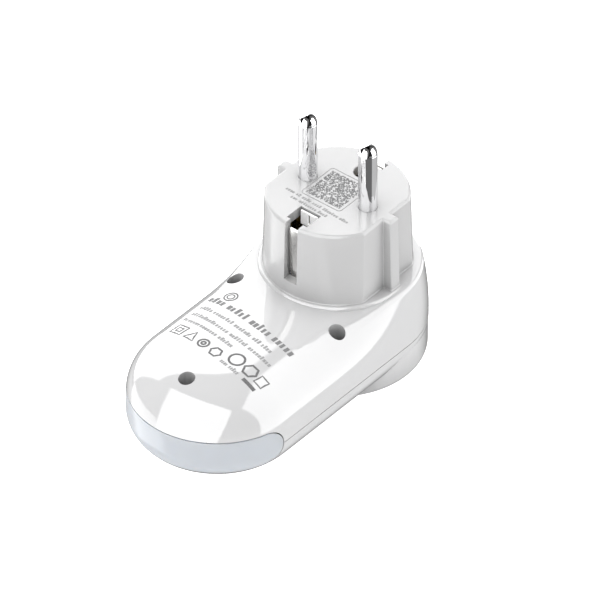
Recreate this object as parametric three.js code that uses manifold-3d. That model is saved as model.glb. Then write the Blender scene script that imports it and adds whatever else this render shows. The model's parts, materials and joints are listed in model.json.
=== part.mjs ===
// A plug-through smart plug. A two-pin earthed plug stands on the back of a long rounded housing, a recessed
// socket opens on its front under the plug, and the switching electronics fill the toe of the housing.
//
// Units are millimetres. The origin is the centre of the plug's pin face, +Z points out along the pins,
// X runs through both pins, and the toe of the housing lies towards -Y.
import * as THREE from 'three';
import { mergeVertices } from 'three/addons/utils/BufferGeometryUtils.js';
import Module from 'manifold-3d';

const wasm = await Module();
wasm.setup();

// ---- Driving dimensions -------------------------------------------------------------------------------

const GAP = 0.3; // air left between neighbouring pieces
const WALL = 1.8; // thickness of the moulded walls

const PIN = { radius: 2.4, length: 19, halfSpacing: 9.5, tail: 9 };
const BARREL = { topRadius: 18.05, baseRadius: 18.6, face: 2.8, flatX: 15.7, ribHalfWidth: 1.65 };
const EARTH_SLOT = { halfWidth: 2, depth: 17.2 };
const FACE_OPENING = { halfWidth: 3.2, outerY: 15.8, toeInnerY: 10.3, heelInnerY: 13.2 };
const EARTH_HOLE = { radius: 2.5, y: 10 };

const BODY = { radius: 22.65, toeY: -46.3, crestZ: -21.7, sideZ: -36.2, exponent: 2.8 };
const SEAT = { radius: 20.5, z: -21.2, holeRadius: 18.9 };
const HEEL = { draft: 1.3, corner: 0.9, blendFrom: -26, blendTo: 4 };
const SEAM = { z: -37.4, gap: 0.2 };
const FRONT = { z: -46, edge: 7.8 };
const COLLAR = { radius: 22.5, z: -48.2, edge: 2 };

const RECESS = { radius: 19.5, depth: 17.5, cupWall: 1.2, floor: 2 };
const RECESS_FLOOR_Z = COLLAR.z + RECESS.depth;

const LENS = { top: -32.4, bottom: -42.4, endY: -48.4, thickness: 2 };
const SCREW_PLACES = [[0, -58], [-16.2, -20], [16.2, -20]];
const WELL = { radius: 3.4, bore: 2.125, ledgeTop: -35.5, bottom: -37, pilot: 1.35 };
const BOARD = { top: -38, thickness: 1.6, radius: 18.2, heelEdgeY: -24.3 };
const BUTTON = { radius: 5.4, y: -44, flangeRadius: 6.4, proud: 0.8 };

// ---- Finishes -----------------------------------------------------------------------------------------

const FINISHES = {
  glossWhite: { color: 0xf4f4f4, roughness: 0.12, metalness: 0 },
  satinWhite: { color: 0xf0f0f0, roughness: 0.3, metalness: 0 },
  diffuser: { color: 0xd5dce6, roughness: 0.25, metalness: 0 },
  clearGuide: { color: 0xe8eef4, roughness: 0.1, metalness: 0 },
  chrome: { color: 0xe6e6e8, roughness: 0.05, metalness: 1 },
  nickel: { color: 0xd2d2ce, roughness: 0.2, metalness: 1 },
  brass: { color: 0xc9a44c, roughness: 0.3, metalness: 1 },
  steel: { color: 0xa8a8ac, roughness: 0.3, metalness: 1 },
  board: { color: 0x1d5a34, roughness: 0.5, metalness: 0 },
  blackPlastic: { color: 0x1c1c1e, roughness: 0.5, metalness: 0 },
  amberPlastic: { color: 0xd9a52a, roughness: 0.5, metalness: 0 },
  blueCoat: { color: 0x2b4f9a, roughness: 0.4, metalness: 0 },
  redSleeve: { color: 0xa8281e, roughness: 0.5, metalness: 0 },
  blueSleeve: { color: 0x20509c, roughness: 0.5, metalness: 0 },
  led: { color: 0xf6f0c8, roughness: 0.3, metalness: 0 },
};

// ---- Geometry helpers ---------------------------------------------------------------------------------

/** Turns a closed three.js geometry into a solid that can be cut and joined, with its faces pointing out. */
function solid(geometry) {
  const bare = geometry.clone();
  bare.deleteAttribute('normal');
  bare.deleteAttribute('uv');
  const merged = mergeVertices(bare, 1e-4);
  const points = merged.attributes.position;
  const corners = merged.index.array;
  const triangles = [];
  let volume = 0;
  const [a, b, c] = [new THREE.Vector3(), new THREE.Vector3(), new THREE.Vector3()];
  for (let i = 0; i < corners.length; i += 3) {
    const [p, q, r] = [corners[i], corners[i + 1], corners[i + 2]];
    if (p === q || q === r || r === p) continue;
    triangles.push([p, q, r]);
    a.fromBufferAttribute(points, p);
    b.fromBufferAttribute(points, q);
    c.fromBufferAttribute(points, r);
    volume += a.dot(b.cross(c));
  }
  const outward = volume < 0 ? triangles.map(([p, q, r]) => [p, r, q]) : triangles;
  const vertProperties = Float32Array.from(points.array);
  const triVerts = Uint32Array.from(outward.flat());
  return new wasm.Manifold(new wasm.Mesh({ numProp: 3, vertProperties, triVerts }));
}

/** Gives a solid back as a three.js geometry. */
function geometryOf(shape) {
  const mesh = shape.getMesh();
  const geometry = new THREE.BufferGeometry();
  geometry.setAttribute('position', new THREE.BufferAttribute(mesh.vertProperties, 3));
  geometry.setIndex(new THREE.BufferAttribute(mesh.triVerts, 1));
  return geometry;
}

const join = (...shapes) => shapes.reduce((whole, shape) => whole.add(shape));
const cut = (whole, ...shapes) => shapes.reduce((rest, shape) => rest.subtract(shape), whole);

/** An upright cylinder between two heights. */
function cylinder(radius, low, high, x = 0, y = 0, sides = 20) {
  const geometry = new THREE.CylinderGeometry(radius, radius, high - low, sides);
  return solid(geometry.rotateX(Math.PI / 2).translate(x, y, (low + high) / 2));
}

/** A block given by its low and high limits along each axis. */
function block([x0, x1], [y0, y1], [z0, z1]) {
  const geometry = new THREE.BoxGeometry(x1 - x0, y1 - y0, z1 - z0);
  return solid(geometry.translate((x0 + x1) / 2, (y0 + y1) / 2, (z0 + z1) / 2));
}

/** A body of revolution about Z from [radius, z] pairs that start and end on the axis. */
function turned(profile, sides = 20) {
  const points = profile.map(([radius, z]) => new THREE.Vector2(radius, z));
  return solid(new THREE.LatheGeometry(points, sides).rotateX(Math.PI / 2));
}

/** Points of a quarter turn from the first direction to the second, round a centre, for turned profiles. */
function fillet([r, z], radius, startDegrees, endDegrees, steps = 3) {
  const points = [];
  for (let i = 0; i <= steps; i += 1) {
    const angle = THREE.MathUtils.degToRad(THREE.MathUtils.lerp(startDegrees, endDegrees, i / steps));
    points.push([r + radius * Math.cos(angle), z + radius * Math.sin(angle)]);
  }
  return points;
}

/** A plan outline raised between two heights. */
function prism(shape, low, high, curveSegments = 12) {
  const options = { depth: high - low, bevelEnabled: false, curveSegments };
  return solid(new THREE.ExtrudeGeometry(shape, options).translate(0, 0, low));
}

/** An outline drawn in the Y-Z plane, given width along X and centred on x. */
function slice(shape, width, x = 0, curveSegments = 12) {
  const geometry = new THREE.ExtrudeGeometry(shape, { depth: width, bevelEnabled: false, curveSegments });
  const axes = new THREE.Matrix4().makeBasis(
    new THREE.Vector3(0, 1, 0),
    new THREE.Vector3(0, 0, 1),
    new THREE.Vector3(1, 0, 0),
  );
  return solid(geometry.translate(0, 0, x - width / 2).applyMatrix4(axes));
}

/** The outline of a bent strip of one thickness along a line of points. */
function stripOutline(line, thickness) {
  const points = line.map(([u, v]) => new THREE.Vector2(u, v));
  const sides = points.map((point, i) => {
    const before = points[Math.max(i - 1, 0)];
    const after = points[Math.min(i + 1, points.length - 1)];
    const into = point.clone().sub(before).normalize();
    const out = after.clone().sub(point).normalize();
    const along = into.clone().add(out).normalize();
    const reference = i === 0 ? out : into;
    const mitre = thickness / 2 / along.dot(reference);
    const offset = new THREE.Vector2(-along.y, along.x).multiplyScalar(mitre);
    return [point.clone().add(offset), point.clone().sub(offset)];
  });
  return new THREE.Shape([...sides.map(([left]) => left), ...sides.map(([, right]) => right).reverse()]);
}

/** A round wire along a curve. */
function wire(radius, path, steps = 14) {
  const section = new THREE.Shape().absarc(0, 0, radius, 0, Math.PI * 2);
  return solid(new THREE.ExtrudeGeometry(section, { steps, extrudePath: path, curveSegments: 3 }));
}

/** A smooth curve through a list of points. */
function smoothPath(points) {
  return new THREE.CatmullRomCurve3(points.map((point) => new THREE.Vector3(...point)));
}

/** Adds one named piece to a group. */
function addPiece(group, name, shape, finish, position = [0, 0, 0]) {
  const mesh = new THREE.Mesh(geometryOf(shape), new THREE.MeshStandardMaterial(FINISHES[finish]));
  mesh.name = name;
  mesh.position.set(...position);
  group.add(mesh);
}

// ---- Housing form -------------------------------------------------------------------------------------

/** Stations once round the plan outline: a place on the middle line and the direction out from it. */
function outlineStations(arcSteps = 16, straightSteps = 5) {
  const stations = [];
  const add = (y, angle) => stations.push({ y, dx: Math.cos(angle), dy: Math.sin(angle) });
  for (let i = 0; i <= arcSteps; i += 1) add(0, (Math.PI * i) / arcSteps);
  for (let i = 1; i < straightSteps; i += 1) add((BODY.toeY * i) / straightSteps, Math.PI);
  for (let i = 0; i <= arcSteps; i += 1) add(BODY.toeY, Math.PI + (Math.PI * i) / arcSteps);
  for (let i = straightSteps - 1; i > 0; i -= 1) add((BODY.toeY * i) / straightSteps, 0);
  return stations;
}

/** A closed solid through level rings, where each level gives a radius and height for a station. */
function loft(levels) {
  const stations = outlineStations();
  const positions = [];
  for (const level of levels) {
    for (const station of stations) {
      const { radius, z } = level(station);
      positions.push(station.dx * radius, station.y + station.dy * radius, z);
    }
  }
  const index = [];
  const count = stations.length;
  for (let k = 0; k + 1 < levels.length; k += 1) {
    for (let i = 0; i < count; i += 1) {
      const next = (i + 1) % count;
      const [a, b, c, d] = [k * count + i, k * count + next, (k + 1) * count + next, (k + 1) * count + i];
      index.push(a, b, c, a, c, d);
    }
  }
  const geometry = new THREE.BufferGeometry();
  geometry.setAttribute('position', new THREE.Float32BufferAttribute(positions, 3));
  geometry.setIndex(index);
  return solid(geometry);
}

/** The side of the back casing between plug and toe: a superellipse from the side (0) to the crest (1). */
function crownPoint(share, inset) {
  const angle = (share * Math.PI) / 2;
  const power = 2 / BODY.exponent;
  const height = BODY.crestZ - inset - BODY.sideZ;
  const radius = share === 1 ? 0 : (BODY.radius - inset) * Math.cos(angle) ** power;
  return { radius, z: BODY.sideZ + height * Math.sin(angle) ** power };
}

/** The side of the back casing round the plug: a drafted wall, a small corner, then the flat seat. */
function heelPoint(share, inset) {
  const wallShare = 0.45;
  const cornerShare = 0.6;
  const seatZ = SEAT.z - inset;
  const cornerZ = seatZ - HEEL.corner;
  const wallTopRadius = BODY.radius - inset - HEEL.draft;
  if (share <= wallShare) {
    const rise = share / wallShare;
    return {
      radius: BODY.radius - inset - HEEL.draft * rise ** 2,
      z: THREE.MathUtils.lerp(BODY.sideZ, cornerZ, rise),
    };
  }
  if (share <= cornerShare) {
    const angle = ((share - wallShare) / (cornerShare - wallShare)) * (Math.PI / 2);
    return {
      radius: wallTopRadius - HEEL.corner * (1 - Math.cos(angle)),
      z: cornerZ + HEEL.corner * Math.sin(angle),
    };
  }
  const inward = (share - cornerShare) / (1 - cornerShare);
  return { radius: (wallTopRadius - HEEL.corner) * (1 - inward), z: seatZ };
}

/** A ring of the back casing, changing from the crowned side to the heel's wall along the body. */
function backLevel(share, inset) {
  const crown = crownPoint(share, inset);
  const heel = heelPoint(share, inset);
  return ({ y, dy }) => {
    const blend = THREE.MathUtils.smoothstep(y + dy * crown.radius, HEEL.blendFrom, HEEL.blendTo);
    return {
      radius: THREE.MathUtils.lerp(crown.radius, heel.radius, blend),
      z: THREE.MathUtils.lerp(crown.z, heel.z, blend),
    };
  };
}

/** The solid under the back casing's surface, moved in by inset, standing on a flat foot. */
function backForm(inset, footZ) {
  const outerShares = [0, 0.15, 0.3, 0.45, 0.5, 0.55, 0.6, 0.72, 0.86, 1];
  const innerShares = [0, 0.25, 0.45, 0.6, 0.8, 1];
  const shares = inset > 0 ? innerShares : outerShares;
  const foot = [() => ({ radius: 0, z: footZ }), () => ({ radius: BODY.radius - inset, z: footZ })];
  return loft([...foot, ...shares.map((share) => backLevel(share, inset))]);
}

/** The solid over the front casing's surface, moved in by inset, up to a flat top. */
function frontForm(inset, topZ) {
  const radius = BODY.radius - inset;
  const edge = FRONT.edge - inset;
  const arc = fillet([radius - edge, FRONT.z + FRONT.edge], edge, 0, -90, inset > 0 ? 4 : 6);
  const top = [() => ({ radius: 0, z: topZ }), () => ({ radius, z: topZ })];
  const levels = arc.map(([r, z]) => () => ({ radius: r, z }));
  return loft([...top, ...levels, () => ({ radius: 0, z: FRONT.z + inset })]);
}

/** The light window's outline from the side, grown by a margin, as a slice through the toe. */
function lensWindow(margin) {
  const middleZ = (LENS.top + LENS.bottom) / 2;
  const radius = (LENS.top - LENS.bottom) / 2;
  const farY = BODY.toeY - BODY.radius - WALL;
  const outline = new THREE.Shape();
  outline.moveTo(farY, middleZ - radius - margin);
  outline.lineTo(LENS.endY - radius, middleZ - radius - margin);
  outline.absarc(LENS.endY - radius, middleZ, radius + margin, -Math.PI / 2, Math.PI / 2);
  outline.lineTo(farY, middleZ + radius + margin);
  return slice(outline, 3 * BODY.radius, 0, 10);
}

// ---- Housing pieces -----------------------------------------------------------------------------------

/** The round space that the socket cup takes inside both casings. */
function cupSpace() {
  const radius = RECESS.radius + RECESS.cupWall + GAP;
  return cylinder(radius, COLLAR.z - 1, RECESS_FLOOR_Z + RECESS.floor + GAP, 0, 0, 48);
}

/** The back half: the crowned shell with the plug's seat, its screw posts and their wells. */
function backCasing() {
  const footZ = SEAM.z + SEAM.gap / 2;
  const outside = join(backForm(0, footZ), cylinder(SEAT.radius, SEAT.z - WALL, SEAT.z, 0, 0, 48));
  const barrelHole = cylinder(SEAT.holeRadius, -30, -20, 0, 0, 48);
  const shell = cut(outside, backForm(WALL, footZ - WALL), barrelHole, cupSpace());
  const posts = SCREW_PLACES.map(([x, y]) => cylinder(WELL.radius, WELL.bottom, -20, x, y));
  const wells = posts.map((post) => post.intersect(outside));
  const bores = SCREW_PLACES.map(([x, y]) => cylinder(WELL.bore, WELL.ledgeTop, -20, x, y));
  const pilots = SCREW_PLACES.map(([x, y]) => cylinder(WELL.pilot, WELL.bottom - 1, -20, x, y, 16));
  return cut(join(shell, ...wells), ...bores, ...pilots, lensWindow(GAP / 2));
}

function frontCasing() {
  const topZ = SEAM.z - SEAM.gap / 2;
  const collarEdge = fillet([COLLAR.radius - COLLAR.edge, COLLAR.z + COLLAR.edge], COLLAR.edge, 0, -90);
  const collar = turned([[0, topZ], [COLLAR.radius, topZ], ...collarEdge, [0, COLLAR.z]], 48);
  const outside = join(frontForm(0, topZ), collar);
  const shell = cut(outside, frontForm(WALL, topZ + WALL), cupSpace());
  const postTop = WELL.bottom - GAP;
  const floorZ = FRONT.z + WALL;
  const posts = SCREW_PLACES.map(([x, y]) => cylinder(WELL.radius, floorZ - 0.5, postTop, x, y));
  const pilots = SCREW_PLACES.map(([x, y]) => cylinder(WELL.pilot, floorZ, postTop + 1, x, y, 16));
  const buttonHole = cylinder(BUTTON.radius + GAP, -50, -40, 0, BUTTON.y, 32);
  return cut(join(shell, ...posts), ...pilots, buttonHole, lensWindow(GAP / 2));
}

/** The translucent light window that wraps round the toe, flush with both casings. */
function lightWindow() {
  const outside = join(backForm(0, SEAM.z), frontForm(0, SEAM.z + 0.1));
  const inside = join(backForm(LENS.thickness, SEAM.z), frontForm(LENS.thickness, SEAM.z + 0.1));
  return cut(outside, inside).intersect(lensWindow(0));
}

/** A clear arc that carries the indicator light from the board to the light window. */
function lightGuide() {
  const [inner, outer] = [BOARD.radius + 0.7, BODY.radius - LENS.thickness - 0.5];
  const [start, end] = [Math.PI * 1.12, Math.PI * 1.88];
  const arc = new THREE.Shape();
  arc.absarc(0, 0, outer, start, end, false);
  arc.absarc(0, 0, inner, end, start, true);
  return prism(arc, -2, 3, 14);
}

function casingScrew() {
  const head = turned([[0, 1.5], [1.2, 1.4], [1.9, 0.7], [1.9, 0], [1.1, 0], [1.1, -7.4], [0, -8]], 16);
  const slots = [block([-1.2, 1.2], [-0.2, 0.2], [0.7, 2]), block([-0.2, 0.2], [-1.2, 1.2], [0.7, 2])];
  return cut(head, ...slots);
}

function powerButton() {
  const capBottom = FRONT.z - BUTTON.proud;
  const flangeBottom = FRONT.z + WALL + GAP / 2;
  const edge = fillet([BUTTON.radius - 0.6, capBottom + 0.6], 0.6, 0, -90);
  const flange = [[0, flangeBottom + 0.8], [BUTTON.flangeRadius, flangeBottom + 0.8]];
  const skirt = [[BUTTON.flangeRadius, flangeBottom], [BUTTON.radius, flangeBottom]];
  return turned([...flange, ...skirt, ...edge, [3, capBottom + 0.25], [0, capBottom + 0.35]], 24);
}

// ---- Plug pieces --------------------------------------------------------------------------------------

function plugBarrel() {
  const tabZ = SEAT.z - WALL - 1;
  const footZ = tabZ - 1.4;
  const rim = fillet([BARREL.topRadius - 0.8, -0.8], 0.8, 90, 0);
  const neck = [[BARREL.baseRadius, SEAT.z], [BARREL.baseRadius, footZ], [0, footZ]];
  const tabRing = cylinder(SEAT.holeRadius + GAP, footZ, tabZ, 0, 0, 48);
  const tabs = tabRing.intersect(block([-6, 6], [-20, 20], [-30, 0]));
  const outside = join(turned([[0, 0], ...rim, ...neck], 64), tabs);
  const cavitySides = BARREL.flatX - 1.5;
  const cavity = cylinder(16.2, -26, -BARREL.face, 0, 0, 32)
    .intersect(block([-cavitySides, cavitySides], [-20, 20], [-27, 0]));
  const notches = [];
  for (const side of [-1, 1]) {
    const across = [side * BARREL.flatX, side * 20].sort((p, q) => p - q);
    notches.push(block(across, [BARREL.ribHalfWidth, 12], [SEAT.z + 0.3, 1]));
    notches.push(block(across, [-12, -BARREL.ribHalfWidth], [SEAT.z + 0.3, 1]));
  }
  const pinHoles = [-1, 1].map((side) => cylinder(PIN.radius + 0.2, -4, 1, side * PIN.halfSpacing));
  const earthHole = cylinder(EARTH_HOLE.radius, -4, 1, 0, EARTH_HOLE.y);
  return cut(outside, cavity, ...notches, ...pinHoles, earthHole, ...earthSlots());
}

/** Openings for the two earth clips: one through the side wall and one through the face, at toe and heel. */
function earthSlots() {
  const { halfWidth, outerY, toeInnerY, heelInnerY } = FACE_OPENING;
  const acrossWall = [-EARTH_SLOT.halfWidth, EARTH_SLOT.halfWidth];
  const acrossFace = [-halfWidth, halfWidth];
  return [
    block(acrossWall, [-20, -14], [-EARTH_SLOT.depth, 1]),
    block(acrossFace, [-outerY, -toeInnerY], [-4, 1]),
    block(acrossWall, [14, 20], [-EARTH_SLOT.depth, 1]),
    block(acrossFace, [heelInnerY, outerY], [-4, 1]),
  ];
}

/** A round pin with a domed end, a shoulder behind the plug's face and a thinner tail. */
function plugPin() {
  const dome = fillet([0, PIN.length - PIN.radius], PIN.radius, 90, 0, 4);
  const shoulderZ = -BARREL.face - GAP;
  const shoulder = [[PIN.radius, shoulderZ], [3.2, shoulderZ], [3.2, shoulderZ - 1]];
  return turned([...dome, ...shoulder, [1.6, shoulderZ - 1], [1.6, -PIN.tail], [0, -PIN.tail]]);
}

/** An earth clip at the side of the plug: a bowed spring strip and a slotted wall that faces the pins. */
function plugEarthClip(side, innerY) {
  const place = (line) => line.map(([y, z]) => [side * y, z]);
  const [wallY, wallHigh, wallLow, neckZ] = [innerY + 0.6, -0.45, -3.7, -6.5];
  const bow = place([[15.2, -2.4], [15.4, -4], [16.5, -9], [15.3, -15.5], [15.2, -18.9]]);
  const neck = place([[wallY, wallLow + 0.3], [wallY, neckZ], [15.7, neckZ]]);
  const wall = slice(stripOutline(place([[wallY, wallHigh], [wallY, wallLow]]), 0.5), 5.8);
  const slits = [-2.8, 0, 2.8].map((x) => {
    return block([x - 0.22, x + 0.22], [side * wallY - 1, side * wallY + 1], [-3.4, -0.7]);
  });
  const strip = slice(stripOutline(bow, 0.8), 2 * EARTH_SLOT.halfWidth - 2 * GAP);
  return join(cut(wall, ...slits), slice(stripOutline(neck, 0.5), 1.6), strip);
}

/** The strap that joins all four earth clips across the middle of the plug. */
function earthBridge() {
  const half = [[0, -20], [14.6, -20], [14.6, -25.9], [18.2, -26.5]];
  const line = [...half.slice(1).reverse().map(([y, z]) => [-y, z]), ...half.slice(1)];
  return slice(stripOutline(line, 0.8), 5);
}

function earthPinSleeve() {
  const tube = cylinder(EARTH_HOLE.radius + 0.9, -19.2, -3.2);
  return cut(tube, cylinder(EARTH_HOLE.radius, -18.2, -3));
}

// ---- Socket pieces, built down from the recess floor at z = 0 -----------------------------------------

/** The recess that takes a plug: a cup with pin holes, clip slots and a pivot for the shutter. */
function socketCup() {
  const outer = RECESS.radius + RECESS.cupWall;
  const mouthZ = -RECESS.depth + GAP;
  const lead = [[RECESS.radius + 0.6, mouthZ], [RECESS.radius, mouthZ + 0.6], [RECESS.radius, 0]];
  const cup = turned([[0, RECESS.floor], [outer, RECESS.floor], [outer, mouthZ], ...lead, [0, 0]], 48);
  const guides = [];
  for (const x of [[-19.8, -16.7], [16.7, 19.8]]) {
    guides.push(block(x, [2.4, 5.4], [mouthZ + 2, 0.5]), block(x, [-5.4, -2.4], [mouthZ + 2, 0.5]));
  }
  const pivot = cylinder(2, RECESS.floor - 0.5, RECESS.floor + 2.6);
  const pinHoles = [-1, 1].map((side) => cylinder(PIN.radius + 0.3, -1, 3, side * PIN.halfSpacing));
  const clipSlots = [[17.2, 19.3], [-19.3, -17.2]].map((y) => block([-2.9, 2.9], y, [-1, 3]));
  return cut(join(cup, ...guides, pivot), ...pinHoles, ...clipSlots);
}

/** A turning shutter: a hub and two arms that lie over the pin holes until a plug pushes them round. */
function safetyShutter() {
  const [hub, reach, halfAngle] = [3.8, 12.8, THREE.MathUtils.degToRad(17)];
  const outline = new THREE.Shape();
  const rootAngle = THREE.MathUtils.degToRad(50);
  for (const middle of [0, Math.PI]) {
    outline.absarc(0, 0, reach, middle - halfAngle, middle + halfAngle, false);
    outline.absarc(0, 0, hub, middle + rootAngle, middle + Math.PI - rootAngle, false);
  }
  outline.holes.push(new THREE.Path().absarc(0, 0, 2.3, 0, Math.PI * 2, true));
  return prism(outline, 0, 1.2, 8);
}

/** A small coil round the shutter's pivot. */
function shutterSpring() {
  class Coil extends THREE.Curve {
    getPoint(share) {
      const angle = share * Math.PI * 2 * 2.5;
      return new THREE.Vector3(2.9 * Math.cos(angle), 2.9 * Math.sin(angle), share * 1.6);
    }
  }
  return wire(0.25, new Coil(), 30);
}

/** A sprung earth strip that stands in the recess wall, rooted through the floor. */
function socketEarthClip(side) {
  const line = [[18.2, 3.4], [18.2, -1], [17.8, -5.5], [16.6, -10.8], [17.8, -15.8]];
  return slice(stripOutline(line.map(([y, z]) => [side * y, z]), 0.8), 4.4);
}

/** A split tube that grips a pin pushed through the recess floor. */
function pinContact() {
  const [low, high] = [3.9, 17.5];
  const bore = cylinder(PIN.radius + 0.1, low - 1, high - 1.2);
  const slitHeight = [low - 1, high - 4];
  const slits = [block([-5, 5], [-0.4, 0.4], slitHeight), block([-0.4, 0.4], [-5, 5], slitHeight)];
  return cut(cylinder(PIN.radius + 0.9, low, high), bore, ...slits);
}

// ---- Electronics, built up from the board's component side at z = 0 -----------------------------------

function mainBoard() {
  const outline = new THREE.Shape();
  outline.moveTo(BOARD.radius, BOARD.heelEdgeY);
  outline.lineTo(-BOARD.radius, BOARD.heelEdgeY);
  outline.lineTo(-BOARD.radius, BODY.toeY);
  outline.absarc(0, BODY.toeY, BOARD.radius, Math.PI, 2 * Math.PI, false);
  const [x, y] = SCREW_PLACES[0];
  outline.holes.push(new THREE.Path().absarc(x, y, WELL.radius + 0.5, 0, Math.PI * 2, true));
  return prism(outline, -BOARD.thickness, 0, 16);
}

/** A block with its four upright edges rounded, centred on its place. */
function roundedBlock(width, depth, low, high, radius) {
  const [x, y] = [width / 2 - radius, depth / 2 - radius];
  const outline = new THREE.Shape();
  outline.absarc(x, y, radius, 0, Math.PI / 2);
  outline.absarc(-x, y, radius, Math.PI / 2, Math.PI);
  outline.absarc(-x, -y, radius, Math.PI, 1.5 * Math.PI);
  outline.absarc(x, -y, radius, 1.5 * Math.PI, 2 * Math.PI);
  return prism(outline, low, high, 3);
}

/** A flyback transformer: a core clamped round a wider winding. */
function transformer() {
  const winding = roundedBlock(11, 7.4, 2.6, 8.2, 1.5);
  return join(roundedBlock(6, 10.6, 1.4, 10, 0.5), winding, roundedBlock(10, 9.4, 0.1, 2.8, 0.4));
}

function capacitor(radius, height) {
  const groove = [[radius - 0.4, 1.8], [radius, 2.3], [radius, height - 0.4], [radius - 0.4, height]];
  return turned([[0, 0.1], [radius, 0.1], [radius, 1.3], ...groove, [0, height]], 20);
}

/** A disc standing on its edge, facing along Y. */
function varistor() {
  const disc = new THREE.CylinderGeometry(3.5, 3.5, 2.6, 20);
  return solid(disc.translate(0, 0, 3.7));
}

/** A glass cartridge lying along X between two metal caps. */
function fuse() {
  const profile = [[0, -5], [1.6, -5], [1.6, -3.4], [1.4, -3.4], [1.4, 3.4], [1.6, 3.4], [1.6, 5], [0, 5]];
  const points = profile.map(([radius, x]) => new THREE.Vector2(radius, x));
  return solid(new THREE.LatheGeometry(points, 16).rotateZ(Math.PI / 2).translate(0, 0, 1.8));
}

/** The switch under the power button: a body with a well, and the plunger that stands in the well. */
function switchBody() {
  return cut(roundedBlock(6, 6, -3, -0.1, 0.5), cylinder(1.95, -4, -2));
}

function switchPlunger() {
  return cylinder(1.65, -3.5, -2.6, 0, 0, 20);
}

// ---- Assembly -----------------------------------------------------------------------------------------

function buildHousing() {
  const housing = new THREE.Group();
  addPiece(housing, 'back_casing', backCasing(), 'glossWhite');
  addPiece(housing, 'front_casing', frontCasing(), 'glossWhite');
  addPiece(housing, 'light_window', lightWindow(), 'diffuser');
  addPiece(housing, 'light_guide', lightGuide(), 'clearGuide', [0, BODY.toeY, BOARD.top]);
  addPiece(housing, 'power_button', powerButton(), 'satinWhite', [0, BUTTON.y, 0]);
  SCREW_PLACES.forEach(([x, y], i) => {
    addPiece(housing, `casing_screw_${i + 1}`, casingScrew(), 'steel', [x, y, WELL.ledgeTop + 0.1]);
  });
  return housing;
}

function buildPlug() {
  const plug = new THREE.Group();
  addPiece(plug, 'plug_barrel', plugBarrel(), 'satinWhite');
  addPiece(plug, 'live_pin', plugPin(), 'chrome', [PIN.halfSpacing, 0, 0]);
  addPiece(plug, 'neutral_pin', plugPin(), 'chrome', [-PIN.halfSpacing, 0, 0]);
  addPiece(plug, 'plug_earth_clip_toe', plugEarthClip(-1, FACE_OPENING.toeInnerY), 'nickel');
  addPiece(plug, 'plug_earth_clip_heel', plugEarthClip(1, FACE_OPENING.heelInnerY), 'nickel');
  addPiece(plug, 'earth_bridge', earthBridge(), 'brass');
  addPiece(plug, 'earth_pin_sleeve', earthPinSleeve(), 'brass', [0, EARTH_HOLE.y, 0]);
  return plug;
}

function buildSocket() {
  const socket = new THREE.Group();
  socket.position.z = RECESS_FLOOR_Z;
  addPiece(socket, 'socket_cup', socketCup(), 'satinWhite');
  addPiece(socket, 'safety_shutter', safetyShutter(), 'satinWhite', [0, 0, RECESS.floor + GAP]);
  addPiece(socket, 'shutter_spring', shutterSpring(), 'steel', [0, 0, RECESS.floor + 1.9]);
  addPiece(socket, 'socket_earth_clip_toe', socketEarthClip(-1), 'nickel');
  addPiece(socket, 'socket_earth_clip_heel', socketEarthClip(1), 'nickel');
  addPiece(socket, 'live_contact', pinContact(), 'brass', [PIN.halfSpacing, 0, 0]);
  addPiece(socket, 'neutral_contact', pinContact(), 'brass', [-PIN.halfSpacing, 0, 0]);
  return socket;
}

function buildWiring() {
  const wiring = new THREE.Group();
  const busbar = block([-13.9, -13.1], [-1.5, 1.5], [-22, -5]);
  const fromPin = [[12, -3.2, -8.5], [10.5, -8, -14], [10.5, -8.5, -22], [10, -11, -26], [10, -16, -27.1]];
  const fromContact = [[8.2, -5, -22], [7.2, -10, -25.8], [6, -16, -27.1], [5, -21, -27.7]];
  const fromNeutral = [[-8.2, -5, -22], [-7.5, -10, -25.8], [-7, -16, -27.1], [-9, -22, -28.2]];
  const toBoard = (x) => [[x, -26.6, -32], [x, -26.8, BOARD.top + 0.2]];
  addPiece(wiring, 'neutral_busbar', busbar, 'brass');
  addPiece(wiring, 'live_wire', wire(0.9, smoothPath([...fromPin, ...toBoard(14.5)])), 'redSleeve');
  addPiece(wiring, 'load_wire', wire(0.9, smoothPath([...fromContact, ...toBoard(-1)])), 'redSleeve');
  addPiece(wiring, 'neutral_wire', wire(0.9, smoothPath([...fromNeutral, ...toBoard(-12)])), 'blueSleeve');
  return wiring;
}

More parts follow.
